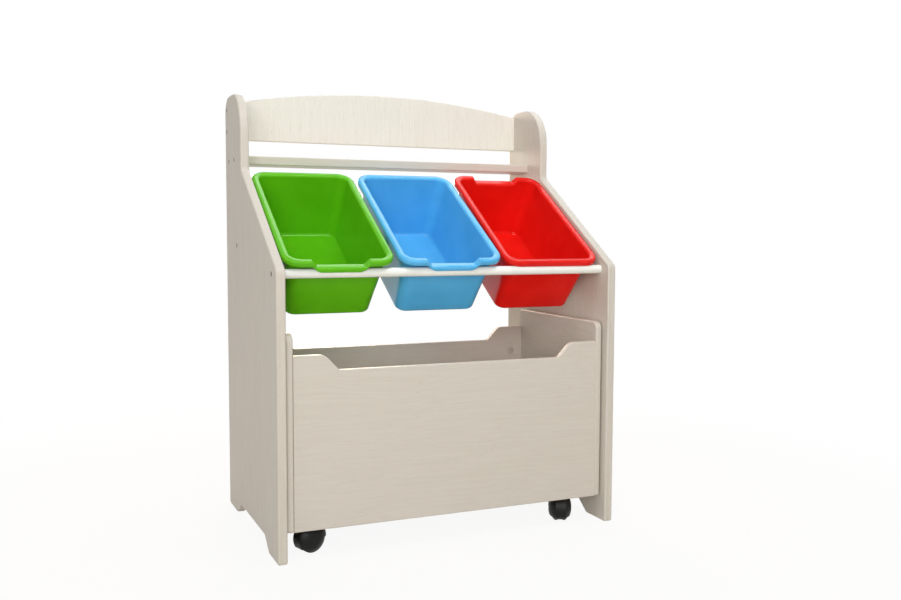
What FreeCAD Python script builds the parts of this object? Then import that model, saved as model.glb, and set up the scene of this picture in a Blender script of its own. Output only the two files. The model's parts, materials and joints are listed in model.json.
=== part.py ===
import FreeCAD, Part
import math
import os

# A children's toy storage unit: two shaped side panels joined by an arched headboard, a narrow shelf and
# two rods, three tilted bins that hang on the rods, and a toy box on casters that rolls in underneath.
# Millimetres, +Z up, the front faces -Y. The origin is on the floor under the middle of the unit.

# Carcass
unit_width = 636.0
panel_thickness = 16.0

# Side panel outline, seen from the side: a front edge, a slope that the bins follow, and a neck behind it
front_edge_height = 481.0
slope_run = 263.5
slope_rise = 171.0
neck_depth = 141.5
neck_height = 146.0
knuckle_radius = 14.0
nook_radius = 14.0
dome_radius = 76.0
back_corner_radius = 34.0
front_foot_length = 67.0
rear_foot_length = 72.0
arch_height = 23.0
arch_front_ramp = 32.0
arch_rear_ramp = 37.0
arch_corner_radius = 8.0
foot_corner_radius = 5.0
panel_edge_round = 3.0

# Headboard and shelf, between the side panels
headboard_thickness = 12.0
headboard_back_inset = 9.5
headboard_end_drop = 9.6
headboard_rise = 29.5
shelf_thickness = 16.0
shelf_depth = 76.5
shelf_above_slope = 30.9
shelf_to_headboard_gap = 33.8
board_edge_round = 2.0

# Rods: the front one just below the front edge of the panels, the rear one where the bins lie on it
rod_diameter = 16.0
rod_wall = 1.2
front_rod_setback = 31.5
front_rod_drop = 7.6
plug_length = 24.0
plug_clearance = 0.1

# Countersunk hex-socket screws of the frame
screw_head_diameter = 9.0
screw_head_height = 3.0
screw_shank_diameter = 5.0
screw_length = 38.0
screw_socket_across_corners = 4.0
screw_socket_depth = 2.2
screw_socket_sides = 6
screw_hole_clearance = 0.1
screw_tip_room = 2.0
headboard_screw_shares = (0.22, 0.80)
shelf_screw_shares = (0.08, 0.70)

# Toy box
box_side_gap = 2.8
box_setback = 15.0
box_back_room = 79.0
box_board = 12.0
box_skirt = 15.0
box_headroom = 19.2
box_end_drop = 36.5
box_side_corner_radius = 15.0
box_foot_corner_radius = 4.0
box_edge_round = 3.0
notch_depth = 26.5
notch_end_margin = 53.7
notch_ramp = 25.0
notch_shoulder_radius = 22.0
notch_corner_radius = 6.0

# Bottom board of the toy box, let into grooves
base_thickness = 12.0
base_groove_depth = 5.0
base_groove_clearance = 0.1

# Cam locks, bolts and dowels at the corners of the toy box
cam_diameter = 15.0
cam_depth = 9.0
cam_clearance = 0.1
cam_inset = 24.0
cam_slot_width = 2.0
cam_slot_depth = 2.0
cam_edge_distance = 51.0
bolt_diameter = 5.0
bolt_side_depth = 8.0
bolt_clearance = 0.1
dowel_diameter = 6.0
dowel_length = 24.0
dowel_side_depth = 8.0
dowel_spacing = 32.0

# Twin-wheel casters
caster_side_inset = 61.5
caster_end_inset = 44.2
caster_trail = 14.0
wheel_radius = 25.0
wheels_width = 38.0
tread_width = 19.0
wheel_hub_cap_share = 0.22
wheel_dome_along_share = 0.66
wheel_dome_out_share = 0.60
web_thickness = 9.0
wheel_side_gap = 0.5
axle_diameter = 5.0
axle_end_wall = 5.0
running_clearance = 0.05
hood_wall = 1.5
hood_wheel_gap = 0.8
guard_skirt = 15.0
hood_hub_diameter = 22.0
hood_hub_height = 6.7
hood_top_gap = 0.5
neck_ahead = 6.0
kingpin_diameter = 6.0
kingpin_in_neck = 11.5
kingpin_end_gap = 0.5
kingpin_chamfer = 1.0
web_radius_share = 0.96
plate_size = 42.0
plate_thickness = 2.5
plate_hole_spacing = 32.0
plate_corner_radius = 5.0
plate_screw_diameter = 3.6
plate_screw_head_diameter = 7.0
plate_screw_slot_diameter = 3.5
plate_screw_head_height = 2.0
plate_screw_length = 12.0
caster_turns = {"front_left": 70.0, "front_right": 25.0, "rear_left": 52.0, "rear_right": 31.0}

# Bins: three fill the width between the panels, and their length follows the slope
bin_gap = 8.0
bin_panel_gap = 1.7
bin_slope_margin = 7.0
bin_slope_ease_degrees = 1.4
bin_rear_overhang = 22.5
bin_depth = 125.5
bin_wall = 2.0
bin_side_draft = 9.5
bin_end_draft = 12.0
bin_corner_radius = 30.0
bin_bottom_round = 8.0
rim_flange = 13.25
rim_height = 9.8
rim_round = 3.0
lip_drop = 11.3
lip_half_bottom = 41.0
lip_ramp = 10.0
lip_tip_half = 35.5
lip_floor = 5.6
lip_skirt = 7.9
lip_tip_round = 6.0
rest_gap = 0.3

# One overrun serves all cuts
overrun = 5.0
touch_tolerance = 0.01

# Places that several pieces share
half_width = unit_width / 2
inner_half = half_width - panel_thickness
front_y = -(slope_run + neck_depth) / 2
back_y = -front_y
slope_top = front_edge_height + slope_rise
panel_height = slope_top + neck_height
headboard_back = back_y - headboard_back_inset
shelf_top = slope_top + shelf_above_slope
headboard_bottom = shelf_top + shelf_to_headboard_gap
headboard_end_height = panel_height - headboard_end_drop - headboard_bottom
rod_radius = rod_diameter / 2
front_rod_y = front_y + front_rod_setback
front_rod_height = front_edge_height - front_rod_drop
bin_width = (2 * inner_half - 2 * bin_gap - 2 * bin_panel_gap) / 3
bin_length = math.hypot(slope_run, slope_rise) - bin_slope_margin
bin_body_margin = rim_flange - bin_wall
box_half = inner_half - box_side_gap
box_inner_half = box_half - box_board
box_front_y = front_y + box_setback
box_back_y = back_y - box_back_room
guard_inner = wheel_radius + hood_wheel_gap
guard_outer = guard_inner + hood_wall
guard_top = wheel_radius + guard_outer
hood_top = guard_top + hood_hub_height
plate_bottom = hood_top + hood_top_gap
base_bottom = plate_bottom + plate_thickness
box_bottom_height = base_bottom - box_skirt


# Where the front rod sits in a bin's own frame, along its length and square to its rim. A bin hooks over the
# rod with its lip, or sits on it with its plain rim when it is turned round.
def rod_seat(turned):
    if turned:
        return bin_wall / 2, -rim_height - rest_gap - rod_radius
    down = lip_drop + lip_floor + rest_gap + rod_radius
    wall = bin_body_margin + bin_end_draft * down / bin_depth
    return wall - rest_gap - rod_radius, -down


# The rear rod carries the bottoms of the bins, so that they lie nearly along the slope of the panels.
def rear_rod_place():
    tilt = math.atan2(slope_rise, slope_run) - math.radians(bin_slope_ease_degrees)
    seat_s, seat_n = rod_seat(False)
    along = bin_length - bin_body_margin - bin_end_draft - bin_rear_overhang - seat_s
    down = bin_depth + rest_gap + rod_radius + seat_n
    y = front_rod_y + along * math.cos(tilt) + down * math.sin(tilt)
    return y, front_rod_height + along * math.sin(tilt) - down * math.cos(tilt)


rear_rod_y, rear_rod_height = rear_rod_place()


# The tilt of a bin that lies on both rods.
def bin_tilt(turned):
    seat_n = rod_seat(turned)[1]
    rise = rear_rod_height - front_rod_height
    run = rear_rod_y - front_rod_y
    down = bin_depth + rest_gap + rod_radius + seat_n
    return math.atan2(rise, run) + math.asin(down / math.hypot(run, rise))


# The lowest corner of a bin, at the front of its bottom: the toy box stays below it.
def bin_low_point(turned):
    tilt = bin_tilt(turned)
    seat_s, seat_n = rod_seat(turned)
    along = bin_body_margin + bin_end_draft - seat_s
    return front_rod_height + along * math.sin(tilt) - (bin_depth + seat_n) * math.cos(tilt)


box_side_top = min(bin_low_point(False), bin_low_point(True)) - box_headroom
box_end_top = box_side_top - box_end_drop
notch_bottom_half = box_inner_half - notch_end_margin - notch_ramp


def vec(x, y, z):
    return FreeCAD.Vector(x, y, z)


# A closed face from corners (a, b, radius), with an arc at each corner; place turns (a, b) into a point.
def outline_face(corners, place):
    spans = []
    count = len(corners)
    for i, (a, b, radius) in enumerate(corners):
        here = vec(a, b, 0)
        before = vec(corners[i - 1][0], corners[i - 1][1], 0) - here
        after = vec(corners[(i + 1) % count][0], corners[(i + 1) % count][1], 0) - here
        before.normalize()
        after.normalize()
        half_turn = before.getAngle(after) / 2
        inward = before + after
        inward.normalize()
        reach = radius / math.tan(half_turn)
        middle = here + inward * (radius / math.sin(half_turn) - radius)
        spans.append((here + before * reach, middle, here + after * reach, radius))
    edges = []
    for i, (start, middle, end, radius) in enumerate(spans):
        points = [place(p.x, p.y) for p in (start, middle, end)]
        if radius > 0:
            edges.append(Part.Arc(*points).toShape())
        following = spans[(i + 1) % count][0]
        edges.append(Part.makeLine(points[2], place(following.x, following.y)))
    return Part.Face(Part.Wire(edges))


# A rounded rectangle lying flat at height z, centred on x, starting at y.
def flat_rectangle(width, length, radius, y, z):
    half = width / 2
    corners = [(-half, y, radius), (half, y, radius), (half, y + length, radius), (-half, y + length, radius)]
    return outline_face(corners, lambda a, b: vec(a, b, z))


def box_between(low, high):
    return Part.makeBox(high[0] - low[0], high[1] - low[1], high[2] - low[2], vec(*low))


def cylinder(radius, length, start, direction):
    return Part.makeCylinder(radius, length, start, direction)


# Edges that lie on one of the two faces square to an axis, for rounding a board's outline.
def outline_edges(board, axis, places):
    picked = []
    for edge in board.Edges:
        ends = [getattr(v.Point, axis) for v in edge.Vertexes]
        for place in places:
            if all(abs(e - place) < touch_tolerance for e in ends):
                picked.append(edge)
    return picked


def join(shapes):
    return shapes[0].fuse(shapes[1:]) if len(shapes) > 1 else shapes[0]


def cut_all(shape, cutters):
    return shape.cut(cutters) if cutters else shape


# Frame screws: places on the left panel as (y, z), mirrored on the right.
def headboard_screw_places():
    middle = headboard_back - headboard_thickness / 2
    return [(middle, headboard_bottom + share * headboard_end_height) for share in headboard_screw_shares]


def shelf_screw_places():
    middle = shelf_top - shelf_thickness / 2
    shelf_front = headboard_back - shelf_depth
    return [(shelf_front + share * shelf_depth, middle) for share in shelf_screw_shares]


def rod_places():
    return [(front_rod_y, front_rod_height), (rear_rod_y, rear_rod_height)]


# A screw along +X from the panel's outer face, with a hexagon socket in its head.
def frame_screw(grow):
    head = screw_head_diameter / 2 + grow
    shank = screw_shank_diameter / 2 + grow
    along = vec(1, 0, 0)
    cone = Part.makeCone(head, shank, screw_head_height, vec(0, 0, 0), along)
    return cone.fuse(cylinder(shank, screw_length, vec(0, 0, 0), along))


def socket():
    points = []
    reach = screw_socket_across_corners / 2
    for i in range(screw_socket_sides + 1):
        angle = 2 * math.pi * i / screw_socket_sides
        points.append(vec(0, reach * math.cos(angle), reach * math.sin(angle)))
    return Part.Face(Part.makePolygon(points)).extrude(vec(screw_socket_depth, 0, 0))


def on_both_sides(shape, places):
    copies = []
    for side in (-1, 1):
        for y, z in places:
            piece = shape.copy()
            if side > 0:
                piece.rotate(vec(0, 0, 0), vec(0, 0, 1), 180)
            piece.translate(vec(side * half_width, y, z))
            copies.append(piece)
    return copies


def frame_screws(places):
    return Part.makeCompound(on_both_sides(frame_screw(0).cut(socket()), places))


# Room for the screws: the shank, its head and a little past its tip.
def screw_room(places):
    room = frame_screw(screw_hole_clearance)
    room = room.fuse(cylinder(screw_shank_diameter / 2 + screw_hole_clearance, screw_length + screw_tip_room,
                              vec(0, 0, 0), vec(1, 0, 0)))
    return on_both_sides(room, places)


def side_panel(side):
    neck_y = front_y + slope_run
    arch_front = front_y + front_foot_length
    arch_rear = back_y - rear_foot_length
    corners = [
        (front_y, 0, foot_corner_radius),
        (arch_front, 0, foot_corner_radius),
        (arch_front + arch_front_ramp, arch_height, arch_corner_radius),
        (arch_rear - arch_rear_ramp, arch_height, arch_corner_radius),
        (arch_rear, 0, foot_corner_radius),
        (back_y, 0, foot_corner_radius),
        (back_y, panel_height, back_corner_radius),
        (neck_y, panel_height, dome_radius),
        (neck_y, front_edge_height + slope_rise, nook_radius),
        (front_y, front_edge_height, knuckle_radius),
    ]
    inner = side * inner_half
    outer = side * half_width
    board = outline_face(corners, lambda a, b: vec(inner, a, b)).extrude(vec(outer - inner, 0, 0))
    board = board.makeFillet(panel_edge_round, outline_edges(board, "x", (inner, outer)))
    places = headboard_screw_places() + shelf_screw_places() + rod_places()
    return cut_all(board, screw_room(places))


def headboard():
    end_top = headboard_bottom + headboard_end_height
    y = headboard_back - headboard_thickness
    left = vec(-inner_half, y, end_top)
    right = vec(inner_half, y, end_top)
    arch = Part.Arc(right, vec(0, y, end_top + headboard_rise), left).toShape()
    low_left = vec(-inner_half, y, headboard_bottom)
    low_right = vec(inner_half, y, headboard_bottom)
    straight = Part.makePolygon([left, low_left, low_right, right])
    face = Part.Face(Part.Wire([arch] + straight.Edges))
    board = face.extrude(vec(0, headboard_thickness, 0))
    board = board.makeFillet(board_edge_round, long_edges(board))
    return cut_all(board, screw_room(headboard_screw_places()))


# Edges that run from one end of a board to the other along X.
def long_edges(board):
    ends = (board.BoundBox.XMin, board.BoundBox.XMax)
    picked = []
    for edge in board.Edges:
        across = [v.Point.x for v in edge.Vertexes]
        if len(across) == 2 and abs(across[0] - across[1]) > (ends[1] - ends[0]) / 2:
            picked.append(edge)
    return picked


def top_shelf():
    low = (-inner_half, headboard_back - shelf_depth, shelf_top - shelf_thickness)
    board = box_between(low, (inner_half, headboard_back, shelf_top))
    board = board.makeFillet(board_edge_round, long_edges(board))
    return cut_all(board, screw_room(shelf_screw_places()))


def rod(y, z):
    start = vec(-inner_half, y, z)
    along = vec(1, 0, 0)
    tube = cylinder(rod_radius, 2 * inner_half, start, along)
    return tube.cut(cylinder(rod_radius - rod_wall, 2 * inner_half, start, along))


# Plugs in the four tube ends, bored for the rod screws.
def rod_end_plugs():
    radius = rod_radius - rod_wall - plug_clearance
    plugs = []
    for y, z in rod_places():
        for side in (-1, 1):
            plugs.append(cylinder(radius, plug_length, vec(side * inner_half, y, z), vec(-side, 0, 0)))
    room = screw_room(rod_places())
    return Part.makeCompound([plug.cut(room) for plug in plugs])


# Corner fittings of the toy box: (side, end) with end -1 at the front and 1 at the back.
def box_corners():
    return [(side, end) for side in (-1, 1) for end in (-1, 1)]


def end_panel_middle(end):
    return (box_front_y if end < 0 else box_back_y) - end * box_board / 2


def cam_heights():
    return (base_bottom + base_thickness + cam_edge_distance, box_end_top - cam_edge_distance)


def dowel_heights():
    low, high = cam_heights()
    return (low + dowel_spacing, high - dowel_spacing)


# Cylinders along X at the corners: from the side panel's blind hole into the end panel's edge.
def corner_pins(radius, side_depth, reach, heights):
    pins = []
    for side, end in box_corners():
        for z in heights:
            start = vec(side * (box_inner_half + side_depth), end_panel_middle(end), z)
            pins.append(cylinder(radius, side_depth + reach, start, vec(-side, 0, 0)))
    return pins


def cam_bolts(grow):
    return corner_pins(bolt_diameter / 2 + grow, bolt_side_depth, cam_inset, cam_heights())


def dowels(grow):
    reach = dowel_length - dowel_side_depth
    return corner_pins(dowel_diameter / 2 + grow, dowel_side_depth, reach, dowel_heights())


# Cam discs in pockets on the inner faces of the front and back panels.
def cam_discs(radius, depth):
    discs = []
    for side, end in box_corners():
        inner_face = (box_front_y if end < 0 else box_back_y) - end * box_board
        for z in cam_heights():
            centre = vec(side * (box_inner_half - cam_inset), inner_face, z)
            discs.append(cylinder(radius, depth, centre, vec(0, end, 0)))
    return discs


def cam_locks():
    radius = cam_diameter / 2 - cam_clearance
    room = cam_bolts(bolt_clearance)
    locks = []
    for (side, end), pair in zip(box_corners(), paired(cam_discs(radius, cam_depth))):
        for disc in pair:
            middle = disc.BoundBox.Center
            face = (box_front_y if end < 0 else box_back_y) - end * box_board
            slots = []
            for wide, tall in ((1, 0), (0, 1)):
                half_x = (cam_slot_width + wide * radius) / 2
                half_z = (cam_slot_width + tall * radius) / 2
                low_y, high_y = sorted((face - end * overrun, face + end * cam_slot_depth))
                slots.append(box_between((middle.x - half_x, low_y, middle.z - half_z),
                                         (middle.x + half_x, high_y, middle.z + half_z)))
            locks.append(disc.cut(slots + room))
    return Part.makeCompound(locks)


def paired(items):
    return [items[i:i + 2] for i in range(0, len(items), 2)]


# What every board of the toy box gives up to the corner fittings and to the bottom board.
def box_fitting_room():
    discs = cam_discs(cam_diameter / 2, cam_depth + cam_clearance)
    return cam_bolts(bolt_clearance) + dowels(bolt_clearance) + discs


def base_board(grow):
    half = box_inner_half + base_groove_depth + grow
    front = box_front_y + box_board - base_groove_depth - grow
    back = box_back_y - box_board + base_groove_depth + grow
    return box_between((-half, front, base_bottom - grow), (half, back, base_bottom + base_thickness + grow))


def box_side(side):
    corners = [
        (box_front_y, box_bottom_height, box_foot_corner_radius),
        (box_back_y, box_bottom_height, box_foot_corner_radius),
        (box_back_y, box_side_top, box_side_corner_radius),
        (box_front_y, box_side_top, box_side_corner_radius),
    ]
    inner = side * box_inner_half
    outer = side * box_half
    board = outline_face(corners, lambda a, b: vec(inner, a, b)).extrude(vec(outer - inner, 0, 0))
    board = board.makeFillet(box_edge_round, outline_edges(board, "x", (inner, outer)))
    return cut_all(board, box_fitting_room() + [base_board(base_groove_clearance)])


def box_end(end):
    top_half = notch_bottom_half + notch_ramp
    notch_bottom = box_end_top - notch_depth
    corners = [
        (-box_inner_half, box_bottom_height, 0),
        (box_inner_half, box_bottom_height, 0),
        (box_inner_half, box_end_top, 0),
        (top_half, box_end_top, notch_shoulder_radius),
        (notch_bottom_half, notch_bottom, notch_corner_radius),
        (-notch_bottom_half, notch_bottom, notch_corner_radius),
        (-top_half, box_end_top, notch_shoulder_radius),
        (-box_inner_half, box_end_top, 0),
    ]
    outer = box_front_y if end < 0 else box_back_y
    board = outline_face(corners, lambda a, b: vec(a, outer, b)).extrude(vec(0, -end * box_board, 0))
    ends = outline_edges(board, "x", (-box_inner_half, box_inner_half))
    rounded = [e for e in outline_edges(board, "y", (outer, outer - end * box_board))
               if not any(e.isSame(other) for other in ends)]
    board = board.makeFillet(board_edge_round, rounded)
    return cut_all(board, box_fitting_room() + [base_board(base_groove_clearance)])


def base_panel():
    return cut_all(base_board(0), plate_screw_room())


# Casters. Each is drawn with its swivel axis on Z and its wheels trailing towards -Y, then turned and placed.
def caster_place(name):
    end = -1 if name.startswith("front") else 1
    side = -1 if name.endswith("left") else 1
    y = (box_front_y if end < 0 else box_back_y) - end * caster_end_inset
    return vec(side * (box_half - caster_side_inset), y, 0)


def place_caster_piece(shape, name):
    piece = shape.copy()
    piece.rotate(vec(0, 0, 0), vec(0, 0, 1), -caster_turns[name])
    piece.translate(caster_place(name))
    return piece


def plate_hole_places():
    half = plate_hole_spacing / 2
    return [(x, y) for x in (-half, half) for y in (-half, half)]


def caster_plate():
    plate = flat_rectangle(plate_size, plate_size, plate_corner_radius, -plate_size / 2, plate_bottom)
    plate = plate.extrude(vec(0, 0, plate_thickness))
    low = vec(0, 0, plate_bottom)
    holes = [cylinder(kingpin_diameter / 2 + running_clearance, plate_thickness, low, vec(0, 0, 1))]
    for x, y in plate_hole_places():
        holes.append(cylinder(plate_screw_diameter / 2 + screw_hole_clearance, plate_thickness,
                              low + vec(x, y, 0), vec(0, 0, 1)))
    return plate.cut(holes)


def kingpin():
    low = guard_top - kingpin_in_neck
    pin = cylinder(kingpin_diameter / 2, base_bottom - low, vec(0, 0, low), vec(0, 0, 1))
    tip = [e for e in pin.Edges if e.BoundBox.ZMax < low + touch_tolerance]
    return pin.makeChamfer(kingpin_chamfer, tip)


# Screws of the plates, upside down: the head under the plate, the shank up in the bottom board.
def plate_screw():
    head_bottom = plate_bottom - plate_screw_head_height
    slot_radius = plate_screw_slot_diameter / 2
    head_radius = plate_screw_head_diameter / 2
    up = vec(0, 0, 1)
    head = Part.makeCone(slot_radius, head_radius, plate_screw_head_height, vec(0, 0, head_bottom), up)
    shank = cylinder(plate_screw_diameter / 2, plate_screw_length, vec(0, 0, plate_bottom), up)
    return head.fuse(shank)


def plate_screws():
    screws = []
    for name in caster_turns:
        for x, y in plate_hole_places():
            screw = plate_screw()
            screw.translate(caster_place(name) + vec(x, y, 0))
            screws.append(screw)
    return Part.makeCompound(screws)


def plate_screw_room():
    room = []
    for name in caster_turns:
        for x, y in plate_hole_places():
            start = caster_place(name) + vec(x, y, base_bottom - overrun)
            length = overrun + plate_screw_length - plate_thickness + screw_hole_clearance
            radius = plate_screw_diameter / 2 + screw_hole_clearance
            room.append(cylinder(radius, length, start, vec(0, 0, 1)))
    return room


# The outline of a pair of wheels turned about the axle, grown all round: a flat tread between two domes.
def wheels_form(grow):
    tread_x = tread_width / 2
    radius = wheel_radius + grow
    outer_x = wheels_width / 2 + grow
    cap = radius * wheel_hub_cap_share
    dome_x = tread_x + wheel_dome_along_share * (outer_x - tread_x)
    dome_r = cap + wheel_dome_out_share * (radius - cap)
    edges = [
        Part.makeLine(vec(-outer_x, 0, 0), vec(-outer_x, cap, 0)),
        Part.Arc(vec(-outer_x, cap, 0), vec(-dome_x, dome_r, 0), vec(-tread_x, radius, 0)).toShape(),
        Part.makeLine(vec(-tread_x, radius, 0), vec(tread_x, radius, 0)),
        Part.Arc(vec(tread_x, radius, 0), vec(dome_x, dome_r, 0), vec(outer_x, cap, 0)).toShape(),
        Part.makeLine(vec(outer_x, cap, 0), vec(outer_x, 0, 0)),
        Part.makeLine(vec(outer_x, 0, 0), vec(-outer_x, 0, 0)),
    ]
    form = Part.Face(Part.Wire(edges)).revolve(vec(0, 0, 0), vec(1, 0, 0), 360)
    form.translate(vec(0, -caster_trail, wheel_radius))
    return form


# The hood: a web between the wheels, a domed guard over them and a hub round the kingpin.
def caster_hood():
    axle_y = -caster_trail
    along = vec(1, 0, 0)
    half_web = web_thickness / 2
    web_start = vec(-half_web, axle_y, wheel_radius)
    web = cylinder(wheel_radius * web_radius_share, web_thickness, web_start, along)
    neck = box_between((-half_web, axle_y, wheel_radius), (half_web, neck_ahead, guard_top))
    room = wheels_form(hood_wheel_gap)
    far = wheel_radius + guard_outer
    ahead = box_between((-far, axle_y, -far), (far, axle_y + far, wheel_radius))
    astern = box_between((-far, axle_y - far, -far), (far, axle_y, wheel_radius - guard_skirt))
    guard = wheels_form(hood_wheel_gap + hood_wall).cut([room, ahead, astern])
    hub_low = wheel_radius + guard_inner
    hub = cylinder(hood_hub_diameter / 2, hood_top - hub_low, vec(0, 0, hub_low), vec(0, 0, 1))
    hub = hub.cut(room)
    body = join([web, neck, guard, hub])
    pin_low = guard_top - kingpin_in_neck - kingpin_end_gap
    pin_radius = kingpin_diameter / 2 + running_clearance
    pin_room = cylinder(pin_radius, hood_top - pin_low, vec(0, 0, pin_low), vec(0, 0, 1))
    axle_room = cylinder(axle_diameter / 2, web_thickness, web_start, along)
    return body.cut([pin_room, axle_room]).removeSplitter()


def caster_axle():
    half = wheels_width / 2 - axle_end_wall
    return cylinder(axle_diameter / 2, 2 * half, vec(-half, -caster_trail, wheel_radius), vec(1, 0, 0))


# One wheel, turned about the axle: a flat tread, a domed outer face and a blind bore.
def caster_wheel(side):
    inner_x = web_thickness / 2 + wheel_side_gap
    bore = axle_diameter / 2 + running_clearance
    bore_x = wheels_width / 2 - axle_end_wall + wheel_side_gap
    far = wheel_radius + wheels_width
    half = box_between((inner_x, -far, -far), (far, far, far))
    half.translate(vec(0, -caster_trail, wheel_radius))
    wheel = wheels_form(0).common(half)
    wheel = wheel.cut(cylinder(bore, bore_x, vec(0, -caster_trail, wheel_radius), vec(1, 0, 0)))
    if side < 0:
        wheel.rotate(vec(0, -caster_trail, 0), vec(0, 0, 1), 180)
    return wheel


# Bins, drawn with the rim on z = 0, the lip at y = 0 and the length along +Y.
def bin_shell(inset, floor):
    margin = bin_body_margin + inset
    radius = bin_corner_radius - margin
    top = flat_rectangle(bin_width - 2 * margin, bin_length - 2 * margin, radius, margin, 0)
    low_margin_x = margin + bin_side_draft
    low_margin_y = margin + bin_end_draft
    low_width = bin_width - 2 * low_margin_x
    low_length = bin_length - 2 * low_margin_y
    bottom = flat_rectangle(low_width, low_length, radius, low_margin_y, floor)
    shell = Part.makeLoft([top.OuterWire, bottom.OuterWire], True, True)
    foot = [e for e in shell.Edges if e.BoundBox.ZMax < floor + bin_wall / 2]
    return shell.makeFillet(bin_bottom_round - inset, foot)


# How far the lip stands out past the rim: its front wall hooks down in front of the top of the rod.
def lip_reach():
    hook = lip_skirt - lip_floor
    half_chord = math.sqrt(rod_radius ** 2 - (rod_radius - hook) ** 2)
    return half_chord + rest_gap + bin_wall - rod_seat(False)[0]


# The trapezium of the dip, run through the front rim; grow keeps a wall's thickness round it.
def lip_dip(grow):
    top_half = lip_half_bottom + lip_ramp
    low = -lip_drop - grow
    slope = lip_ramp / lip_drop
    points = [
        (-lip_half_bottom - grow, low),
        (lip_half_bottom + grow, low),
        (top_half + grow + slope * overrun, overrun),
        (-top_half - grow - slope * overrun, overrun),
        (-lip_half_bottom - grow, low),
    ]
    y = -lip_reach() - overrun
    face = Part.Face(Part.makePolygon([vec(x, y, z) for x, z in points]))
    return face.extrude(vec(0, -y + rim_flange + bin_end_draft, 0))


# The lip's plan: as wide as the dip at the wall, narrower at its tip.
def lip_block(inset, low, high):
    root = lip_half_bottom + lip_ramp + bin_wall - inset
    tip = lip_tip_half - inset
    tip_y = inset - lip_reach()
    root_y = rim_flange + bin_wall
    corners = [(-tip, tip_y, lip_tip_round), (tip, tip_y, lip_tip_round), (root, 0, 0), (root, root_y, 0),
               (-root, root_y, 0), (-root, 0, 0)]
    return outline_face(corners, lambda a, b: vec(a, b, low)).extrude(vec(0, 0, high - low))


# The lip seen from its end: beside its tip its lower edge rises to meet the lower edge of the rim.
def lip_band():
    root = lip_half_bottom + lip_ramp + bin_wall
    low = -lip_drop - lip_skirt
    points = [(-root, -rim_height), (-lip_tip_half, low), (lip_tip_half, low), (root, -rim_height),
              (root, 0), (-root, 0), (-root, -rim_height)]
    y = -lip_reach() - overrun
    face = Part.Face(Part.makePolygon([vec(x, y, z) for x, z in points]))
    return face.extrude(vec(0, -y + rim_flange + bin_end_draft, 0))


def rim_block(inset, low, high):
    width = bin_width - 2 * inset
    length = bin_length - 2 * inset
    face = flat_rectangle(width, length, bin_corner_radius - inset, inset, low)
    return face.extrude(vec(0, 0, high - low))


def storage_bin():
    body = bin_shell(0, -bin_depth)
    rim = rim_block(0, -rim_height, 0)
    top_edges = [e for e in rim.Edges if e.BoundBox.ZMin > -rim_round]
    rim = rim.makeFillet(rim_round, top_edges)
    lip = lip_block(0, -lip_drop - lip_skirt, 0).common(lip_band())
    outside = join([body, rim, lip]).cut(lip_dip(0))
    under_rim = rim_block(bin_wall, -rim_height - overrun, -bin_wall)
    under_lip = lip_block(bin_wall, -lip_drop - lip_skirt - overrun, -bin_wall)
    channel = under_rim.fuse(under_lip).cut([body, lip_dip(lip_floor)])
    cavity = bin_shell(bin_wall, -bin_depth + bin_wall)
    mouth = flat_rectangle(bin_width - 2 * rim_flange, bin_length - 2 * rim_flange,
                           bin_corner_radius - rim_flange, rim_flange, 0)
    cavity = cavity.fuse(mouth.extrude(vec(0, 0, overrun)))
    return outside.cut([channel, cavity]).removeSplitter()


# A bin on the rods, in the column left (-1), middle (0) or right (1).
def hung_bin(column, turned):
    seat_s, seat_n = rod_seat(turned)
    piece = storage_bin()
    if turned:
        piece.rotate(vec(0, bin_length / 2, 0), vec(0, 0, 1), 180)
    piece.translate(vec(0, -seat_s, -seat_n))
    piece.rotate(vec(0, 0, 0), vec(1, 0, 0), math.degrees(bin_tilt(turned)))
    piece.translate(vec(column * (bin_width + bin_gap), front_rod_y, front_rod_height))
    return piece


def all_nodes():
    nodes = {
        "left_side_panel": side_panel(-1),
        "right_side_panel": side_panel(1),
        "headboard": headboard(),
        "top_shelf": top_shelf(),
        "front_rod": rod(front_rod_y, front_rod_height),
        "rear_rod": rod(rear_rod_y, rear_rod_height),
        "rod_end_plugs": rod_end_plugs(),
        "rod_screws": frame_screws(rod_places()),
        "headboard_screws": frame_screws(headboard_screw_places()),
        "shelf_screws": frame_screws(shelf_screw_places()),
        "box_front_panel": box_end(-1),
        "box_back_panel": box_end(1),
        "box_left_side": box_side(-1),
        "box_right_side": box_side(1),
        "box_bottom_panel": base_panel(),
        "box_cam_locks": cam_locks(),
        "box_cam_bolts": Part.makeCompound(cam_bolts(0)),
        "box_dowels": Part.makeCompound(dowels(0)),
        "caster_plate_screws": plate_screws(),
        "green_bin": hung_bin(-1, False),
        "blue_bin": hung_bin(0, False),
        "red_bin": hung_bin(1, True),
    }
    for name in caster_turns:
        side = -1 if name.endswith("left") else 1
        plate = caster_plate()
        plate.translate(caster_place(name))
        nodes[name + "_caster_plate"] = plate
        nodes[name + "_caster_kingpin"] = place_caster_piece(kingpin(), name)
        nodes[name + "_caster_hood"] = place_caster_piece(caster_hood(), name)
        nodes[name + "_caster_axle"] = place_caster_piece(caster_axle(), name)
        nodes[name + "_caster_outer_wheel"] = place_caster_piece(caster_wheel(side), name)
        nodes[name + "_caster_inner_wheel"] = place_caster_piece(caster_wheel(-side), name)
    return nodes


os.makedirs("parts", exist_ok=True)
for node, shape in all_nodes().items():
    shape.exportStep("parts/" + node + ".step")
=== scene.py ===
import json
import math

import bmesh
import bpy
from mathutils import Matrix, Vector


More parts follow.
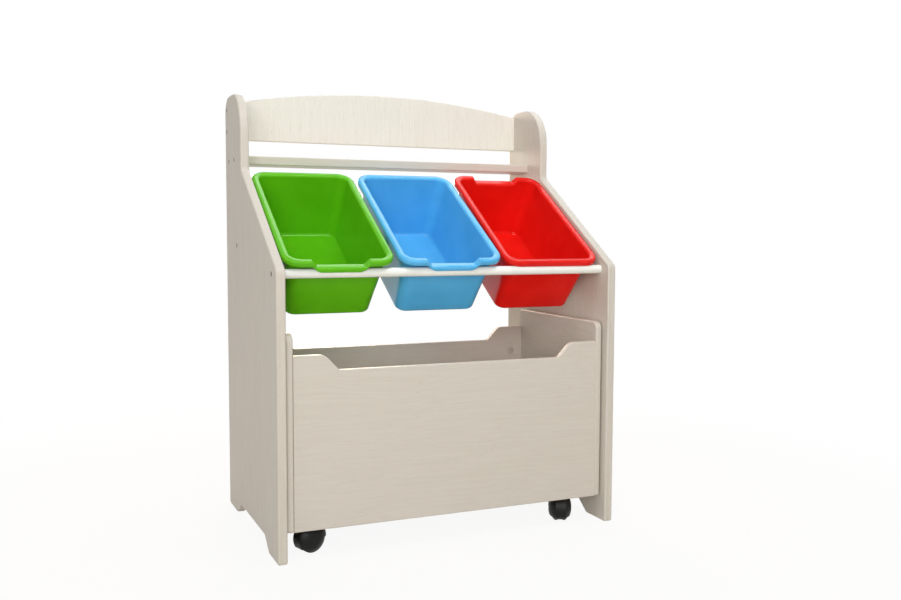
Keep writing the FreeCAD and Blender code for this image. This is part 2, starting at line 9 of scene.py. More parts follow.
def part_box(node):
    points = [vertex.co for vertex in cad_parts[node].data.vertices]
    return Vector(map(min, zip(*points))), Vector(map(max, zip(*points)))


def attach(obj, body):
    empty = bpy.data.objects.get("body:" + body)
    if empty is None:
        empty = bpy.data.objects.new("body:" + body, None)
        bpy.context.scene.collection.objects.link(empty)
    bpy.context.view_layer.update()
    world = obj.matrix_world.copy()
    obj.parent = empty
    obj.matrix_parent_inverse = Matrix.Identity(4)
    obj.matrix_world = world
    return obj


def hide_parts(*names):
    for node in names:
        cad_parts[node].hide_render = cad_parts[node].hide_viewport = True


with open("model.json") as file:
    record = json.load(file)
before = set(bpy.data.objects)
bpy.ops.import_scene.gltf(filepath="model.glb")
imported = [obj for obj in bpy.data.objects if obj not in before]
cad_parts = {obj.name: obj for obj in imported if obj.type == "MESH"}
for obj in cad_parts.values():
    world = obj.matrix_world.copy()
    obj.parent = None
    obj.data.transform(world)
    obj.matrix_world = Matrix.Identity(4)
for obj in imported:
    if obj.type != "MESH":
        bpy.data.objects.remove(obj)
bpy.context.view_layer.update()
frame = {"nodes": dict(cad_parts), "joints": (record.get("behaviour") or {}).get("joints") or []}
nodes = frame["nodes"]
scene = bpy.context.scene
mm = 0.001
print("frame loaded:", len(nodes), "CAD nodes")


# small helpers

def hexColour(text):  # sRGB hex to linear RGBA
    channels = [int(text[i:i + 2], 16) / 255 for i in (1, 3, 5)]
    linear = [c / 12.92 if c <= 0.04045 else ((c + 0.055) / 1.055) ** 2.4 for c in channels]
    return (*linear, 1.0)


def addNode(tree, kind, inputs=None, **settings):  # a node with its settings, values and links
    made = tree.nodes.new(kind)
    for name, value in settings.items():
        setattr(made, name, value)
    for socket, value in (inputs or {}).items():
        if isinstance(value, bpy.types.NodeSocket):
            tree.links.new(value, made.inputs[socket])
        else:
            made.inputs[socket].default_value = value
    return made


def newMaterial(name):  # a material with only its Principled shader, and the Object coordinates
    material = bpy.data.materials.new(name)
    material.use_nodes = True
    tree = material.node_tree
    tree.nodes.clear()
    shader = addNode(tree, "ShaderNodeBsdfPrincipled")
    addNode(tree, "ShaderNodeOutputMaterial", {"Surface": shader.outputs["BSDF"]})
    place = addNode(tree, "ShaderNodeTexCoord").outputs["Object"]
    return material, tree, shader, place


def mixColours(tree, share, first, second):  # two colours; by index, as each data type has its own sockets
    return addNode(tree, "ShaderNodeMix", {0: share, 6: first, 7: second}, data_type="RGBA").outputs[2]


def dress(material, *names):  # a carried-over CAD node takes a finished material
    for name in names:
        nodes[name].data.materials.clear()
        nodes[name].data.materials.append(material)


def meshObject(name, verts, faces):
    mesh = bpy.data.meshes.new(name)
    mesh.from_pydata([tuple(v) for v in verts], [], faces)
    mesh.update()
    made = bpy.data.objects.new(name, mesh)
    scene.collection.objects.link(made)
    return made


def smoothStep(t):
    t = min(1.0, max(0.0, t))
    return t * t * (3 - 2 * t)


# materials

ashBoard = {
    "light": "#D1CBC1",
    "dark": "#C2BAAE",
    "warm": "#CFC8BB",
    "pore": "#AEA394",
    "streakWidth": 3.2,     # mm across the grain
    "streakLength": 190.0,  # mm along it
    "bandWidth": 36.0,
    "bandLength": 620.0,
    "poreWidth": 1.1,       # coarser than the printed pores, so that they show in the render
    "poreLength": 20.0,
    "streaks": (4.0, 0.34, 0.70, 0.85),  # detail of the noise, the range used of it, and the strength
    "bands": (2.0, 0.36, 0.66, 0.6),
    "pores": (1.0, 0.62, 0.76, 0.5),
    "wander": 36.0,         # full reach of the noise that bends the grain sideways
    "wanderLength": 260.0,
    "wanderDetail": 1.0,
    "noiseRoughness": 0.6,
    "roughness": (0.42, 0.53),  # on the ground and in the streaks
    "reliefDepth": 0.05,
    "reliefStrength": 0.35,
    "ior": 1.48,
    "specular": 0.4,
}


def ashFoil(name, grainAxis, figure, changed=None):
    # ash-effect printed foil, hot-laminated on board: pale cream, long fine streaks that wander a little,
    # short darker pores and a satin sheen that follows the print; figure is how strongly the grain shows
    b = {**ashBoard, **(changed or {})}
    material, tree, shader, place = newMaterial(name)
    wander = addNode(tree, "ShaderNodeTexNoise", {"Vector": place, "Scale": 1 / (b["wanderLength"] * mm),
                                                  "Detail": b["wanderDetail"]})
    centred = addNode(tree, "ShaderNodeVectorMath", {0: wander.outputs["Color"], 1: (0.5, 0.5, 0.5)},
                      operation="SUBTRACT")
    shift = addNode(tree, "ShaderNodeVectorMath", {0: centred.outputs["Vector"], "Scale": b["wander"] * mm},
                    operation="SCALE")
    bent = addNode(tree, "ShaderNodeVectorMath", {0: place, 1: shift.outputs["Vector"]}, operation="ADD")

    def grain(width, length, detail, low, high, strength):
        scale = [1 / (width * mm)] * 3
        scale[grainAxis] = 1 / (length * mm)
        stretched = addNode(tree, "ShaderNodeMapping", {"Vector": bent.outputs["Vector"], "Scale": scale})
        noise = addNode(tree, "ShaderNodeTexNoise", {"Vector": stretched.outputs["Vector"], "Scale": 1.0,
                                                     "Detail": detail,
                                                     "Roughness": b["noiseRoughness"]})
        ranged = addNode(tree, "ShaderNodeMapRange", {"Value": noise.outputs["Fac"], "From Min": low,
                                                      "From Max": high, "To Max": strength * figure})
        return ranged.outputs["Result"]

    streaks = grain(b["streakWidth"], b["streakLength"], *b["streaks"])
    bands = grain(b["bandWidth"], b["bandLength"], *b["bands"])
    pores = grain(b["poreWidth"], b["poreLength"], *b["pores"])
    ground = mixColours(tree, bands, hexColour(b["light"]), hexColour(b["warm"]))
    streaked = mixColours(tree, streaks, ground, hexColour(b["dark"]))
    pored = mixColours(tree, pores, streaked, hexColour(b["pore"]))
    gloss = addNode(tree, "ShaderNodeMapRange", {"Value": streaks, "To Min": b["roughness"][0],
                                                 "To Max": b["roughness"][1]})
    relief = addNode(tree, "ShaderNodeMath", {0: streaks, 1: pores}, operation="ADD")
    bump = addNode(tree, "ShaderNodeBump", {"Height": relief.outputs[0], "Strength": b["reliefStrength"],
                                            "Distance": b["reliefDepth"] * mm}, invert=True)
    tree.links.new(pored, shader.inputs["Base Color"])
    tree.links.new(gloss.outputs["Result"], shader.inputs["Roughness"])
    tree.links.new(bump.outputs["Normal"], shader.inputs["Normal"])
    shader.inputs["IOR"].default_value = b["ior"]
    shader.inputs["Specular IOR Level"].default_value = b["specular"]
    return material


mottle = {
    "driftDetail": 3.0,
    "driftRange": (0.35, 0.65),  # part of the noise that the colour follows
    "fineDetail": 2.0,
    "fineRange": (0.3, 0.7),     # and that the gloss follows
    "bumpStrength": 0.3,
}


def mottled(name, light, dark, mottleSize, grainSize, roughness, spread, relief, metallic=0.0, ior=None):
    # a finish whose colour drifts slowly and whose gloss and relief vary finely: mouldings, enamel, plating
    material, tree, shader, place = newMaterial(name)
    drift = addNode(tree, "ShaderNodeTexNoise", {"Vector": place, "Scale": 1 / (mottleSize * mm),
                                                 "Detail": mottle["driftDetail"]})
    fine = addNode(tree, "ShaderNodeTexNoise", {"Vector": place, "Scale": 1 / (grainSize * mm),
                                                "Detail": mottle["fineDetail"]})
    low, high = mottle["driftRange"]
    share = addNode(tree, "ShaderNodeMapRange", {"Value": drift.outputs["Fac"], "From Min": low,
                                                 "From Max": high})
    tint = mixColours(tree, share.outputs["Result"], hexColour(light), hexColour(dark))
    low, high = mottle["fineRange"]
    gloss = addNode(tree, "ShaderNodeMapRange", {"Value": fine.outputs["Fac"], "From Min": low,
                                                 "From Max": high, "To Min": roughness - spread,
                                                 "To Max": roughness + spread})
    bump = addNode(tree, "ShaderNodeBump", {"Height": fine.outputs["Fac"], "Strength": mottle["bumpStrength"],
                                            "Distance": relief * mm})
    tree.links.new(tint, shader.inputs["Base Color"])
    tree.links.new(gloss.outputs["Result"], shader.inputs["Roughness"])
    tree.links.new(bump.outputs["Normal"], shader.inputs["Normal"])
    shader.inputs["Metallic"].default_value = metallic
    if ior:
        shader.inputs["IOR"].default_value = ior
    return material


binPlastic = {
    "mottleSize": 70,
    "grainSize": 2.5,
    "roughness": 0.10,
    "spread": 0.02,
    "relief": 0.01,
    "ior": 1.42,
    "specular": 0.3,
    "through": 0.45,               # share of the light that enters the wall
    "throughRadius": (1.5, 1.0, 0.8),
    "throughReach": 2.5,           # mm
}


def polypropylene(name, light, dark, sheen):
    # injection-moulded polypropylene: a clean strong colour, a polished gloss with a trace of orange peel,
    # and a little light that passes through the thin wall
    p = binPlastic
    material = mottled(name, light, dark, p["mottleSize"], p["grainSize"], p["roughness"], p["spread"],
                       p["relief"], ior=p["ior"])
    shader = material.node_tree.nodes["Principled BSDF"]
    shader.inputs["Specular IOR Level"].default_value = p["specular"]
    shader.inputs["Specular Tint"].default_value = hexColour(sheen)
    shader.inputs["Subsurface Weight"].default_value = p["through"]
    shader.inputs["Subsurface Radius"].default_value = p["throughRadius"]
    shader.inputs["Subsurface Scale"].default_value = p["throughReach"] * mm
    return material


uprightFoil = ashFoil("ash_effect_foil_upright", grainAxis=2, figure=0.7)
# the same ash foil with every shade painted lighter: painted light standing in for the stronger light that
# falls on the headboard from above
headboardFoilPaintedLighter = ashFoil("ash_effect_foil_headboard_painted_lighter", grainAxis=2, figure=0.6,
                        changed={"light": "#E6E3DA", "dark": "#D9D4C8", "warm": "#E4DFD4"})
acrossFoil = ashFoil("ash_effect_foil_across", grainAxis=0, figure=0.45)
depthFoil = ashFoil("ash_effect_foil_front_to_back", grainAxis=1, figure=0.55)

# stove enamel on steel tube: white, glossy, a faint orange peel
rodEnamel = mottled("white_enamelled_steel_tube", "#F4F5F1", "#ECEEE8", mottleSize=45, grainSize=3.0,
                    roughness=0.24, spread=0.05, relief=0.03, ior=1.52)
# moulded nylon with a spark-eroded texture: near black, satin
blackNylon = mottled("black_moulded_nylon", "#131312", "#0D0D0C", mottleSize=25, grainSize=0.9,
                     roughness=0.46, spread=0.08, relief=0.05, ior=1.3)
# the same nylon on the running wheels, scuffed a little lighter by the floor
wheelNylon = mottled("black_nylon_wheel", "#161615", "#0F0F0E", mottleSize=9, grainSize=0.7,
                     roughness=0.42, spread=0.1, relief=0.04, ior=1.3)
# bright zinc plating on turned steel: cool grey, fine tool marks
zincSteel = mottled("bright_zinc_plated_steel", "#C3C7C9", "#AEB2B3", mottleSize=6, grainSize=0.5,
                    roughness=0.3, spread=0.08, relief=0.02, metallic=1.0)
# phosphated steel on the frame screws: brownish grey, dull
screwSteel = mottled("phosphated_screw_steel", "#7C786F", "#6A665E", mottleSize=4, grainSize=0.5,
                     roughness=0.42, spread=0.08, relief=0.02, metallic=1.0)
# pressure die-cast zinc: duller and grainier than plating
castZinc = mottled("die_cast_zinc", "#CFC6B8", "#C0B7A9", mottleSize=5, grainSize=0.6,
                   roughness=0.46, spread=0.08, relief=0.04, metallic=0.35)
# turned beech: pinkish tan with small flecks
beech = mottled("beech_dowel", "#D3AD83", "#BD9468", mottleSize=8, grainSize=0.8,
                roughness=0.6, spread=0.06, relief=0.05)
# plain moulded polyethylene plugs
whitePlastic = mottled("white_moulded_polyethylene", "#EEEDE6", "#E3E2DA", mottleSize=15, grainSize=1.2,
                       roughness=0.4, spread=0.06, relief=0.04, ior=1.51)

binColours = {  # two shades of the plastic, and the tint of its gloss
    "green": ("#64BD16", "#5CB511", "#E8F6D8"),
    "blue": ("#5EBAEB", "#56B2E4", "#E4DCFF"),
    "red": ("#E82019", "#DE1912", "#FFC8C0"),
}
binPlastics = {colour: polypropylene(colour + "_moulded_polypropylene", *shades)
               for colour, shades in binColours.items()}

casterNames = ["front_left", "front_right", "rear_left", "rear_right"]
dress(uprightFoil, "left_side_panel", "right_side_panel")
dress(headboardFoilPaintedLighter, "headboard")
dress(acrossFoil, "top_shelf", "box_front_panel", "box_back_panel", "box_bottom_panel")
dress(depthFoil, "box_left_side", "box_right_side")
dress(rodEnamel, "front_rod", "rear_rod")
dress(whitePlastic, "rod_end_plugs")
dress(castZinc, "box_cam_locks")
dress(zincSteel, "box_cam_bolts", "caster_plate_screws")
dress(beech, "box_dowels")
for caster in casterNames:
    dress(zincSteel, caster + "_caster_plate", caster + "_caster_kingpin", caster + "_caster_axle")
    dress(blackNylon, caster + "_caster_hood")
    dress(wheelNylon, caster + "_caster_outer_wheel", caster + "_caster_inner_wheel")
print("materials ready")


# bins

binMould = {  # mm, with the rim on z = 0, the hanging lip at y = 0 and the length along y
    "width": 194.86,
    "length": 307.12,
    "depth": 125.5,
    "wall": 2.0,
    "flange": 13.25,       # from the outer edge of the rim to the mouth
    "sideDraft": 9.5,
    "endDraft": 12.0,
    "cornerRadius": 30.0,
    "floorRound": 8.0,
    "rimHeight": 9.8,
    "rimRound": 5.0,
    "mouthRound": 4.0,
    "crown": 0.5,          # the rim's top falls away a little towards the mouth
    "skirtRound": 0.6,
    "lipDrop": 11.3,
    "lipReach": 2.55,
    "lipSkirt": 19.2,      # lowest edge of the lip
    "lipFloor": 5.6,       # thickness of the lip where it lies on the rod
    "dipSpan": (41.0, 51.0),    # half widths between which the rim dips
    "juttingSpan": (35.5, 53.0),
    "skirtSpan": (33.0, 53.0),  # and between which the skirt comes up from the lip to the rim
    "dipFade": 45.0,       # depth at which the wall no longer follows the dip
    "floorShares": (0.02, 0.3, 0.6),  # rings between the middle of the floor and its edge
    "wallRings": 14,
    "wallStep": 3.0,       # between the rings of the wall
    "wallStart": 1.0,      # from the mouth's round to the first of them
    "jutStart": (1.4, 0.55),    # how far inside the rim's round the lip begins to jut, and its share there
    "underRound": 1.5,     # inside corners under the rim
    "skirtClear": 0.8,     # least height of the underside above the skirt's edge
    "steps": {"front": 64, "side": 24, "back": 20, "corner": 12, "round": 6},
    "sharpAngle": 48.0,    # degrees from which an edge isn't shaded smooth
}


def binOutline(inset, radius):  # points (x, y, share along the front or None) of a rounded rectangle
    b = binMould
    s = b["steps"]
    across = b["width"] / 2 - inset[0] - radius
    low, high = inset[1] + radius, b["length"] - inset[1] - radius
    points = []

    def straight(start, end, count, onFront=False):
        for i in range(count):
            t = i / count
            x, y = start[0] + (end[0] - start[0]) * t, start[1] + (end[1] - start[1]) * t
            points.append((x, y, 2 * t - 1 if onFront else None))

    def corner(x, y, startAngle):
        for i in range(s["corner"]):
            angle = math.radians(startAngle + 90 * i / s["corner"])
            points.append((x + radius * math.cos(angle), y + radius * math.sin(angle), None))

    straight((-across, low - radius), (across, low - radius), s["front"], True)
    corner(across, low, -90)
    straight((across + radius, low), (across + radius, high), s["side"])
    corner(across, high, 0)
    straight((across, high + radius), (-across, high + radius), s["back"])
    corner(-across, high, 90)
    straight((-across - radius, high), (-across - radius, low), s["side"])
    corner(-across, low, 180)
    return points


def binRings():
    # rings from the inner floor up the inside, over the rim and down the outside to the outer floor:
    # (inset, height, and what the ring takes of the lip's jut, of its dip and of its hanging skirt),
    # and for the floors ("floor", height, share of the nearest full ring); the underside dips further
    # than the top, by as much as the lip is thicker than the wall
    b = binMould
    rings = []
    floorIn = -b["depth"] + b["wall"]
    roundIn = b["floorRound"] - b["wall"]
    roundSteps = b["steps"]["round"]
    quarter = [math.radians(90 * i / roundSteps) for i in range(roundSteps + 1)]
    wallTop = -b["mouthRound"] - b["crown"]
    wallDrops = [b["wallStep"] * i for i in range(b["wallRings"])]
    wallHeights = [wallTop - b["wallStart"] - drop for drop in wallDrops]
    arc = 0.3  # where the middle of a small round lies, as a share of its radius

    for share in b["floorShares"]:
        rings.append(("floor", floorIn, share))
    for angle in quarter:
        rings.append((b["flange"] + roundIn * (1 - math.sin(angle)),
                      floorIn + roundIn * (1 - math.cos(angle)), 0, 0, 0))
    for z in reversed(wallHeights):
        rings.append((b["flange"], z, 0, max(0.0, 1 + (z - wallTop) / b["dipFade"]), 0))
    r = b["mouthRound"]
    for angle in quarter:
        rings.append((b["flange"] - r + r * math.cos(angle), wallTop + r * math.sin(angle), 0, 1, 0))
    jutInset, jutShare = b["jutStart"]
    rings.append((b["rimRound"] + jutInset, 0, jutShare, 1, 0))
    r = b["rimRound"]
    for angle in quarter:
        rings.append((r - r * math.sin(angle), r * math.cos(angle) - r, 1, 1, 0))
    k = b["skirtRound"]
    low = -b["rimHeight"]
    rings += [(0, low + k, 1, 0, 1), (k * arc, low + k * arc, 1, 0, 1), (k, low, 1, 0, 1)]
    w = b["wall"]
    rings += [(w - k, low, 1, 0, 1), (w - k * arc, low + k * arc, 1, 0, 1), (w, low + k, 1, 0, 1)]
    under = 1 + (b["lipFloor"] - w) / b["lipDrop"]
    u = b["underRound"]
    rings += [(w, -w - u, 1, under, 0), (w + u * arc, -w - u * arc, 1, under, 0), (w + u, -w, 1, under, 0)]
    bodyInset = b["flange"] - w
    rings += [(bodyInset - u, -w, 0, under, 0), (bodyInset - u * arc, -w - u * arc, 0, under, 0)]
    for z in [-w - u - drop for drop in wallDrops]:
        rings.append((bodyInset, z, 0, under * max(0.0, 1 + (z + w) / b["dipFade"]), 0))
    r = b["floorRound"]
    for angle in reversed(quarter):
        rings.append((bodyInset + r * (1 - math.sin(angle)),
                      -b["depth"] + r * (1 - math.cos(angle)), 0, 0, 0))
    for share in reversed(b["floorShares"]):
        rings.append(("floor", -b["depth"], share))
    return rings


def binMesh(name, place):  # the whole moulding; place turns the mould's own (x, y, z) into the row's
    b = binMould
    topHalf = b["width"] / 2 - b["cornerRadius"]
    draftStart = b["flange"] - b["wall"] - 0.01  # rings from this inset on lean with the walls
    rings = []
    for ring in binRings():
        if ring[0] == "floor":
            rings.append(ring)
            continue
        inset, height, jut, dip, hang = ring
        drop = -height / b["depth"] if inset >= draftStart else 0
        outline = binOutline((inset + b["sideDraft"] * drop, inset + b["endDraft"] * drop),
                             b["cornerRadius"] - inset)
        points = []
        for x, y, along in outline:
            z = height
            if along is not None:
                reach = abs(along) * topHalf
                low, high = b["dipSpan"]
                dipped = smoothStep((high - reach) / (high - low))
                low, high = b["juttingSpan"]
                jutted = smoothStep((high - reach) / (high - low))
                low, high = b["skirtSpan"]
                skirt = (b["lipSkirt"] - b["rimHeight"]) * smoothStep((high - reach) / (high - low))
                z -= b["lipDrop"] * dipped * dip
                z -= skirt * hang
                if dip > 1 and jut:  # the underside stays above the skirt's edge
                    below = min(0, height + b["wall"] + b["underRound"])
                    z = max(z, b["skirtClear"] - b["rimHeight"] - skirt + below)
                y -= b["lipReach"] * jutted * jut
                y += b["endDraft"] * b["lipDrop"] / b["depth"] * dipped * dip * (1 - jut)
            points.append(Vector((x, y, z)))
        rings.append(points)
    floorRings = len(b["floorShares"])
    for i, ring in enumerate(rings):  # floors: shrunk copies of the nearest full ring
        if isinstance(ring, tuple):
            full = rings[floorRings] if i < floorRings else rings[-1 - floorRings]
            centre = Vector((0, b["length"] / 2, ring[1]))
            rings[i] = [centre + (p - centre) * ring[2] for p in full]
    count = len(rings[0])
    verts = [place(*p) for ring in rings for p in ring]
    faces = [tuple(reversed(range(count))), tuple(range((len(rings) - 1) * count, len(rings) * count))]
    for r in range(len(rings) - 1):
        for i in range(count):
            j = (i + 1) % count
            faces.append((r * count + i, r * count + j, (r + 1) * count + j, (r + 1) * count + i))
    made = meshObject(name, verts, faces)
    work = bmesh.new()
    work.from_mesh(made.data)
    bmesh.ops.recalc_face_normals(work, faces=work.faces)
    work.to_mesh(made.data)
    work.free()
    made.data.shade_smooth()
    made.data.set_sharp_from_angle(angle=math.radians(b["sharpAngle"]))
    return made


hungBins = {  # whether it is turned round, and where the front rod sits in the mould's own frame (y, z)
    "green": (False, (5.3596, -25.2)),
    "blue": (False, (5.3596, -25.2)),
    "red": (True, (1.0, -18.1)),
}
rodLow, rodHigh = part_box("front_rod")
rodY, rodZ = (rodLow.y + rodHigh.y) / 2, (rodLow.z + rodHigh.z) / 2
for colour, (turned, seat) in hungBins.items():
    node = colour + "_bin"
    low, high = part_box(node)
    columnX = (low.x + high.x) / 2
    lift = next(j for j in frame["joints"] if j["child"] == node)
    tilt = math.atan2(-lift["axis"][1], lift["axis"][2])

    def hang(x, y, z):
        if turned:
            x, y = -x, binMould["length"] - y
        along, up = (y - seat[0]) * mm, (z - seat[1]) * mm
        return (columnX + x * mm, rodY + along * math.cos(tilt) - up * math.sin(tilt),
                rodZ + along * math.sin(tilt) + up * math.cos(tilt))

    piece = binMesh(colour + "Bin", hang)
    piece.data.materials.append(binPlastics[colour])
    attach(piece, node)
    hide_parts(node)
print("bins moulded:", len(hungBins))


# frame screws, set by Geometry Nodes on points that carry the way each head faces

screwSizes = {
    "Head Diameter": 9.0,
    "Head Height": 3.0,
    "Shank Diameter": 5.0,
    "Length": 38.0,
    "Socket Size": 4.0,    # across the corners of the hexagon
    "Socket Depth": 2.2,
}
screwSides = {"head": 48, "shank": 32, "socket": 6}
screwSharpAngle = 35.0  # degrees


def screwTree():
    tree = bpy.data.node_groups.new("countersunkScrews", "GeometryNodeTree")
    tree.interface.new_socket("Points", in_out="INPUT", socket_type="NodeSocketGeometry")
    for name in screwSizes:
        tree.interface.new_socket(name, in_out="INPUT", socket_type="NodeSocketFloat")
    tree.interface.new_socket("Finish", in_out="INPUT", socket_type="NodeSocketMaterial")
    tree.interface.new_socket("Geometry", in_out="OUTPUT", socket_type="NodeSocketGeometry")
    given = addNode(tree, "NodeGroupInput").outputs

    def times(socket, factor):
        return addNode(tree, "ShaderNodeMath", {0: socket, 1: factor}, operation="MULTIPLY").outputs[0]

    def lifted(geometry, height):
        offset = addNode(tree, "ShaderNodeCombineXYZ", {"Z": height}).outputs["Vector"]
        return addNode(tree, "GeometryNodeTransform", {"Geometry": geometry,
                                                       "Translation": offset}).outputs[0]

    head = addNode(tree, "GeometryNodeMeshCone", {"Vertices": screwSides["head"],
                                                  "Depth": given["Head Height"],
                                                  "Radius Top": times(given["Head Diameter"], 0.5),
                                                  "Radius Bottom": times(given["Shank Diameter"], 0.5)})
    head = lifted(head.outputs["Mesh"], times(given["Head Height"], -1))
    # the shank is a little thinner than the cone's end and starts a little lower, for a clean union
    shank = addNode(tree, "GeometryNodeMeshCylinder", {"Vertices": screwSides["shank"],
                                                       "Depth": given["Length"],
                                                       "Radius": times(given["Shank Diameter"], 0.48)})
    shank = lifted(shank.outputs["Mesh"], times(given["Length"], -0.51))
    socket = addNode(tree, "GeometryNodeMeshCylinder", {"Vertices": screwSides["socket"],
                                                        "Depth": times(given["Socket Depth"], 2),
                                                        "Radius": times(given["Socket Size"], 0.5)})
    whole = addNode(tree, "GeometryNodeMeshBoolean", {"Mesh 2": head}, operation="UNION")
    tree.links.new(shank, whole.inputs["Mesh 2"])
    cut = addNode(tree, "GeometryNodeMeshBoolean", {"Mesh 1": whole.outputs["Mesh"],
                                                    "Mesh 2": socket.outputs["Mesh"]}, operation="DIFFERENCE")
    facing = addNode(tree, "GeometryNodeInputNamedAttribute", {"Name": "facing"}, data_type="FLOAT_VECTOR")
    turned = addNode(tree, "FunctionNodeAlignRotationToVector", {"Vector": facing.outputs["Attribute"]},
                     axis="Z")
    placed = addNode(tree, "GeometryNodeInstanceOnPoints", {"Points": given["Points"],
                                                            "Instance": cut.outputs["Mesh"],
                                                            "Rotation": turned.outputs["Rotation"]})
    real = addNode(tree, "GeometryNodeRealizeInstances", {"Geometry": placed.outputs["Instances"]})
    done = addNode(tree, "GeometryNodeSetMaterial", {"Geometry": real.outputs["Geometry"],
                                                     "Material": given["Finish"]})
    addNode(tree, "NodeGroupOutput", {"Geometry": done.outputs["Geometry"]})
    return tree


def grown(name, tree, points, facings, values):  # the tree's result on these points, as a plain mesh
    seeds = meshObject(name, points, [])
    facing = seeds.data.attributes.new("facing", "FLOAT_VECTOR", "POINT")
    for i, way in enumerate(facings):
        facing.data[i].vector = way
    modifier = seeds.modifiers.new("set", "NODES")
    modifier.node_group = tree
    for item in tree.interface.items_tree:
        if item.in_out == "INPUT" and item.name in values:
            modifier[item.identifier] = values[item.name]
    bpy.context.view_layer.update()
    evaluated = seeds.evaluated_get(bpy.context.evaluated_depsgraph_get())
    mesh = bpy.data.meshes.new_from_object(evaluated)
    seeds.modifiers.remove(modifier)
    seeds.data = mesh
    mesh.name = name
    mesh.shade_smooth()
    mesh.set_sharp_from_angle(angle=math.radians(screwSharpAngle))
    return seeds


screws = screwTree()
screwValues = {name: value * mm for name, value in screwSizes.items()}
screwValues["Finish"] = screwSteel
headRadius = screwSizes["Head Diameter"] / 2 * mm
for node, name in (("rod_screws", "rodScrews"), ("headboard_screws", "headboardScrews"),
                   ("shelf_screws", "shelfScrews")):
    low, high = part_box(node)
    spots = [(low.y + headRadius, low.z + headRadius), (high.y - headRadius, high.z - headRadius)]
    points = [(x, y, z) for x in (low.x, high.x) for y, z in spots]
    piece = grown(name, screws, points, [(math.copysign(1, p[0]), 0, 0) for p in points], screwValues)
    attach(piece, "frame")
    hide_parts(node)
print("screws set")


# studio: floor, world, lamps and the camera at the photograph's viewing angle

studio = {
    "floorColour": "#E2DACD",
    "floorSize": 14.0,
    "floorRoughness": 0.9,
    "floorGlow": (0.92, 1.0),     # share of the floor's look that is plain white, near the unit and far off
    "glowReach": (0.45, 1.5),     # metres from the unit's middle between which it goes from one to the other
    "ambient": 0.24,
    "aim": (0.0, 0.0, 0.5),       # where the lamps point
}
lamps = {  # place and size in metres, power in watts, and colour
    "key": ((-1.3, -3.1, 1.25), (1.8, 1.6), 57.0, "#FFFFFF"),
    "top": ((0.15, -0.75, 2.0), (1.1, 0.3), 12.5, "#FFFFFF"),
    "side": ((-2.2, -0.9, 1.7), (1.2, 1.2), 6.0, "#FFFFFF"),
    "rim": ((0.65, 0.6, 2.0), (1.4, 0.7), 8.0, "#FFFFFF"),
    "back": ((0.2, 1.9, 1.0), (0.9, 0.7), 28.0, "#FFE9D2"),
}
shot = {  # found by fitting the unit's own edges to the photograph
    "place": (-0.680903, -1.722110, 0.547106),
    "yaw": 23.6513,
    "pitch": 4.18555,
    "roll": -0.219623,
    "focalPixels": 970.575,
    "imageWidth": 901,
    "sensor": 36.0,       # mm
    "farthest": 50.0,     # metres that the camera sees
}


def whiteForEyes(tree):  # 1 where the camera, a mirror or glass looks, 0 for light that falls on the object
    path = addNode(tree, "ShaderNodeLightPath").outputs
    seen = addNode(tree, "ShaderNodeMath", {0: path["Is Camera Ray"], 1: path["Is Glossy Ray"]},
                   operation="ADD")
    return addNode(tree, "ShaderNodeMath", {0: seen.outputs[0], 1: path["Is Transmission Ray"]},
                   operation="ADD", use_clamp=True).outputs[0]


world = bpy.data.worlds.new("studio")
scene.world = world
world.use_nodes = True
tree = world.node_tree
tree.nodes.clear()
strength = addNode(tree, "ShaderNodeMapRange", {"Value": whiteForEyes(tree), "To Min": studio["ambient"]})
sky = addNode(tree, "ShaderNodeBackground", {"Color": (1, 1, 1, 1), "Strength": strength.outputs["Result"]})
addNode(tree, "ShaderNodeOutputWorld", {"Surface": sky.outputs["Background"]})

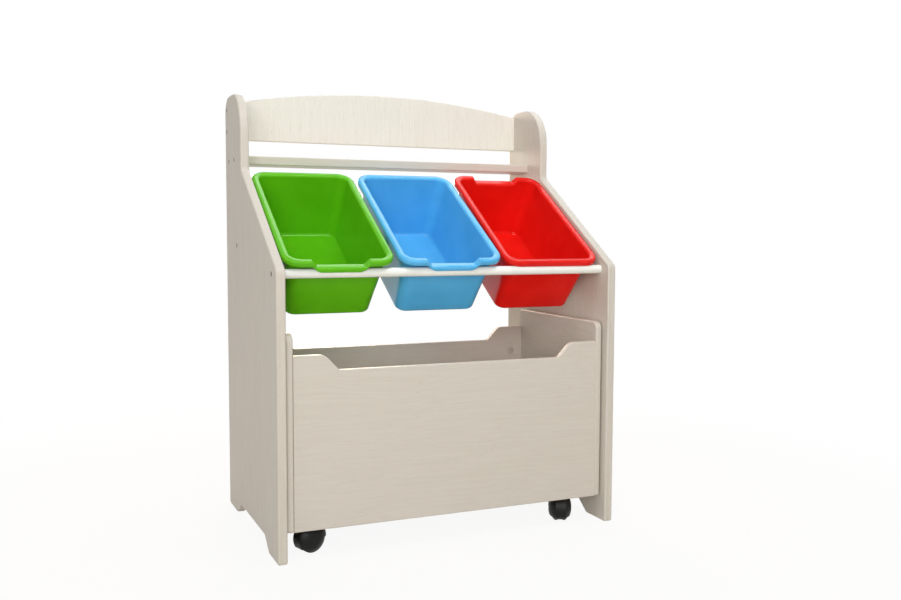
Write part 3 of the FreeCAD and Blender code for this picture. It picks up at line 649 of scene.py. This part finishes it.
half = studio["floorSize"] / 2
floor = meshObject("studioFloor", [(-half, -half, 0), (half, -half, 0), (half, half, 0), (-half, half, 0)],
                   [(0, 1, 2, 3)])
material, tree, shader, place = newMaterial("matt_white_studio_floor")
shader.inputs["Base Color"].default_value = hexColour(studio["floorColour"])
shader.inputs["Roughness"].default_value = studio["floorRoughness"]
glow = addNode(tree, "ShaderNodeEmission", {"Color": (1, 1, 1, 1), "Strength": 1.0})
far = addNode(tree, "ShaderNodeVectorMath", {0: place}, operation="LENGTH")
nearGlow, farGlow = studio["floorGlow"]
glowStart, glowEnd = studio["glowReach"]
spread = addNode(tree, "ShaderNodeMapRange", {"Value": far.outputs["Value"], "From Min": glowStart,
                                              "From Max": glowEnd, "To Min": nearGlow, "To Max": farGlow},
                 interpolation_type="SMOOTHSTEP")
share = addNode(tree, "ShaderNodeMath", {0: whiteForEyes(tree), 1: spread.outputs["Result"]},
                operation="MULTIPLY")
mixed = addNode(tree, "ShaderNodeMixShader", {0: share.outputs[0], 1: shader.outputs["BSDF"],
                                              2: glow.outputs["Emission"]})
tree.links.new(mixed.outputs["Shader"], tree.nodes["Material Output"].inputs["Surface"])
floor.data.materials.append(material)


def softLamp(name, place, size, power, colour):
    lamp = bpy.data.lights.new(name, "AREA")
    lamp.shape = "RECTANGLE"
    lamp.size, lamp.size_y = size
    lamp.energy = power
    lamp.color = hexColour(colour)[:3]
    made = bpy.data.objects.new(name, lamp)
    made.location = place
    away = Vector(place) - Vector(studio["aim"])
    made.rotation_euler = away.to_track_quat("Z", "Y").to_euler()
    scene.collection.objects.link(made)


for lampName, values in lamps.items():
    softLamp(lampName + "Lamp", *values)

yaw, pitch, roll = (math.radians(shot[k]) for k in ("yaw", "pitch", "roll"))
forward = Vector((math.sin(yaw) * math.cos(pitch), math.cos(yaw) * math.cos(pitch), -math.sin(pitch)))
right = Vector((math.cos(yaw), -math.sin(yaw), 0))
up = right.cross(forward)
columns = (right * math.cos(roll) - up * math.sin(roll), right * math.sin(roll) + up * math.cos(roll),
           -forward)
lens = bpy.data.cameras.new("photoCamera")
lens.sensor_fit = "HORIZONTAL"
lens.sensor_width = shot["sensor"]
lens.lens = shot["focalPixels"] / shot["imageWidth"] * shot["sensor"]
lens.clip_end = shot["farthest"]
camera = bpy.data.objects.new("photoCamera", lens)
camera.matrix_world = Matrix.Translation(shot["place"]) @ Matrix(columns).transposed().to_4x4()
scene.collection.objects.link(camera)
scene.camera = camera
scene.view_settings.view_transform = "Standard"
print("studio ready")
